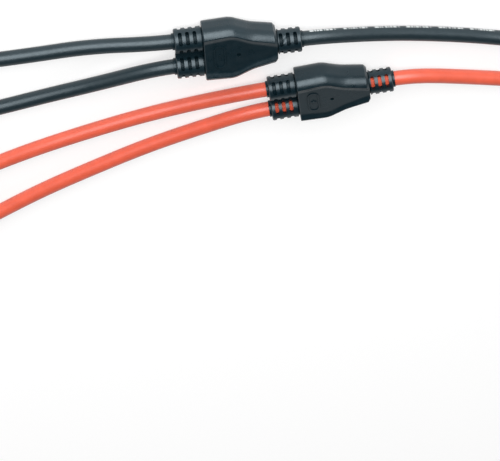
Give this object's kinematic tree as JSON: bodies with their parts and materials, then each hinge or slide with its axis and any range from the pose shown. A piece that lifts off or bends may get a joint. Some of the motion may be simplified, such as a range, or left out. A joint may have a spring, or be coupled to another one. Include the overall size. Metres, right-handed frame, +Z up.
{
  "type": "solar cable connector",
  "caption": "Pair of moulded Y-branch leads for solar panels, one red and one black: slotted strain-relief boots, round single-core cables and locking plugs and sockets on their ends.",
  "frame": {"origin": "centre of the red overmould's flat underside", "axes": "+X along the red overmould from its two branches to its trunk, +Z up out of its panelled face"},
  "size_m": [0.529, 0.1366, 0.019],
  "materials": {
    "overmould": "satin moulded",
    "connector_housing": "satin moulded",
    "jacket_red": "smooth matt",
    "jacket_black": "smooth matt",
    "seal": "matt",
    "core": "stranded tinned copper",
    "contact": "tin plated",
    "clamp_cage": "moulded"
  },
  "bodies": {
    "red_lead": {"red_branch_a_cable_seal": "seal", "red_branch_a_contact_pin": "contact", "red_branch_a_core": "core", "red_branch_a_jacket": "jacket_red", "red_branch_a_male_housing": "connector_housing", "red_branch_b_cable_seal": "seal", "red_branch_b_contact_pin": "contact", "red_branch_b_core": "core", "red_branch_b_jacket": "jacket_red", "red_branch_b_male_housing": "connector_housing", "red_overmould": "overmould", "red_splice": "contact", "red_trunk_cable_seal": "seal", "red_trunk_contact_socket": "contact", "red_trunk_core": "core", "red_trunk_female_housing": "connector_housing", "red_trunk_jacket": "jacket_red", "red_trunk_nose_oring": "seal"},
    "black_lead": {"black_branch_a_cable_seal": "seal", "black_branch_a_contact_socket": "contact", "black_branch_a_core": "core", "black_branch_a_female_housing": "connector_housing", "black_branch_a_jacket": "jacket_black", "black_branch_a_nose_oring": "seal", "black_branch_b_cable_seal": "seal", "black_branch_b_contact_socket": "contact", "black_branch_b_core": "core", "black_branch_b_female_housing": "connector_housing", "black_branch_b_jacket": "jacket_black", "black_branch_b_nose_oring": "seal", "black_overmould": "overmould", "black_splice": "contact", "black_trunk_cable_seal": "seal", "black_trunk_contact_pin": "contact", "black_trunk_core": "core", "black_trunk_jacket": "jacket_black", "black_trunk_male_housing": "connector_housing"},
    "black_branch_a_nut": {"black_branch_a_cap_nut": "connector_housing"},
    "black_branch_a_cage": {"black_branch_a_clamp_cage": "clamp_cage"},
    "black_branch_a_latch_left": {"black_branch_a_latch_left": "connector_housing"},
    "black_branch_a_latch_right": {"black_branch_a_latch_right": "connector_housing"},
    "black_branch_b_nut": {"black_branch_b_cap_nut": "connector_housing"},
    "black_branch_b_cage": {"black_branch_b_clamp_cage": "clamp_cage"},
    "black_branch_b_latch_left": {"black_branch_b_latch_left": "connector_housing"},
    "black_branch_b_latch_right": {"black_branch_b_latch_right": "connector_housing"},
    "black_trunk_nut": {"black_trunk_cap_nut": "connector_housing"},
    "black_trunk_cage": {"black_trunk_clamp_cage": "clamp_cage"},
    "red_branch_a_nut": {"red_branch_a_cap_nut": "connector_housing"},
    "red_branch_a_cage": {"red_branch_a_clamp_cage": "clamp_cage"},
    "red_branch_b_nut": {"red_branch_b_cap_nut": "connector_housing"},
    "red_branch_b_cage": {"red_branch_b_clamp_cage": "clamp_cage"},
    "red_trunk_nut": {"red_trunk_cap_nut": "connector_housing"},
    "red_trunk_cage": {"red_trunk_clamp_cage": "clamp_cage"},
    "red_trunk_latch_left": {"red_trunk_latch_left": "connector_housing"},
    "red_trunk_latch_right": {"red_trunk_latch_right": "connector_housing"}
  },
  "joints": [
    {"name": "black_lead_lift", "type": "slide", "parent": "red_lead", "child": "black_lead", "axis": [0, 0, 1], "range_m": [0, 0.12]},
    {"name": "red_branch_a_cage_travel", "type": "slide", "parent": "red_lead", "child": "red_branch_a_cage", "axis": [1, 0, 0], "range_m": [0, 0.006]},
    {"name": "red_branch_a_nut_turn", "type": "hinge", "parent": "red_branch_a_cage", "child": "red_branch_a_nut", "pos_m": [-0.2295, -0.0236, 0.0095], "axis": [1, 0, 0], "range_deg": [0, 1441]},
    {"name": "red_branch_b_cage_travel", "type": "slide", "parent": "red_lead", "child": "red_branch_b_cage", "axis": [1, 0, 0], "range_m": [0, 0.006]},
    {"name": "red_branch_b_nut_turn", "type": "hinge", "parent": "red_branch_b_cage", "child": "red_branch_b_nut", "pos_m": [-0.2235, -0.0566, 0.0095], "axis": [1, 0, 0], "range_deg": [0, 1441]},
    {"name": "red_trunk_cage_travel", "type": "slide", "parent": "red_lead", "child": "red_trunk_cage", "axis": [-1, 0, 0], "range_m": [0, 0.006]},
    {"name": "red_trunk_nut_turn", "type": "hinge", "parent": "red_trunk_cage", "child": "red_trunk_nut", "pos_m": [0.1795, -0.0324, 0.0095], "axis": [-1, 0, 0], "range_deg": [0, 1441]},
    {"name": "red_trunk_latch_left_bend", "type": "hinge", "parent": "red_lead", "child": "red_trunk_latch_left", "pos_m": [0.2015, -0.0246, 0.0095], "axis": [0, 0, -1], "range_deg": [0, 5], "stiffness_Nm_per_rad": 0.5},
    {"name": "red_trunk_latch_right_bend", "type": "hinge", "parent": "red_lead", "child": "red_trunk_latch_right", "pos_m": [0.2015, -0.0402, 0.0095], "axis": [0, 0, 1], "range_deg": [0, 5], "stiffness_Nm_per_rad": 0.5},
    {"name": "black_branch_a_cage_travel", "type": "slide", "parent": "black_lead", "child": "black_branch_a_cage", "axis": [1, 0, 0], "range_m": [0, 0.006]},
    {"name": "black_branch_a_nut_turn", "type": "hinge", "parent": "black_branch_a_cage", "child": "black_branch_a_nut", "pos_m": [-0.2655, 0.0608, 0.0095], "axis": [1, 0, 0], "range_deg": [0, 1441]},
    {"name": "black_branch_a_latch_left_bend", "type": "hinge", "parent": "black_lead", "child": "black_branch_a_latch_left", "pos_m": [-0.2875, 0.053, 0.0095], "axis": [0, 0, -1], "range_deg": [0, 5], "stiffness_Nm_per_rad": 0.5},
    {"name": "black_branch_a_latch_right_bend", "type": "hinge", "parent": "black_lead", "child": "black_branch_a_latch_right", "pos_m": [-0.2875, 0.0686, 0.0095], "axis": [0, 0, 1], "range_deg": [0, 5], "stiffness_Nm_per_rad": 0.5},
    {"name": "black_branch_b_cage_travel", "type": "slide", "parent": "black_lead", "child": "black_branch_b_cage", "axis": [1, 0, 0], "range_m": [0, 0.006]},
    {"name": "black_branch_b_nut_turn", "type": "hinge", "parent": "black_branch_b_cage", "child": "black_branch_b_nut", "pos_m": [-0.2645, 0.0214, 0.0095], "axis": [1, 0, 0], "range_deg": [0, 1441]},
    {"name": "black_branch_b_latch_left_bend", "type": "hinge", "parent": "black_lead", "child": "black_branch_b_latch_left", "pos_m": [-0.2865, 0.0136, 0.0095], "axis": [0, 0, -1], "range_deg": [0, 5], "stiffness_Nm_per_rad": 0.5},
    {"name": "black_branch_b_latch_right_bend", "type": "hinge", "parent": "black_lead", "child": "black_branch_b_latch_right", "pos_m": [-0.2865, 0.0292, 0.0095], "axis": [0, 0, 1], "range_deg": [0, 5], "stiffness_Nm_per_rad": 0.5},
    {"name": "black_trunk_cage_travel", "type": "slide", "parent": "black_lead", "child": "black_trunk_cage", "axis": [-1, 0, 0], "range_m": [0, 0.006]},
    {"name": "black_trunk_nut_turn", "type": "hinge", "parent": "black_trunk_cage", "child": "black_trunk_nut", "pos_m": [0.146, 0.0011, 0.0095], "axis": [-1, 0, 0], "range_deg": [0, 1441]}
  ],
  "couplings": [
    {"joint": "red_branch_a_nut_turn", "follows": "red_branch_a_cage_travel", "rad_per_m": 4188.8},
    {"joint": "red_branch_b_nut_turn", "follows": "red_branch_b_cage_travel", "rad_per_m": 4188.8},
    {"joint": "red_trunk_nut_turn", "follows": "red_trunk_cage_travel", "rad_per_m": 4188.8},
    {"joint": "black_branch_a_nut_turn", "follows": "black_branch_a_cage_travel", "rad_per_m": 4188.8},
    {"joint": "black_branch_b_nut_turn", "follows": "black_branch_b_cage_travel", "rad_per_m": 4188.8},
    {"joint": "black_trunk_nut_turn", "follows": "black_trunk_cage_travel", "rad_per_m": 4188.8}
  ]
}
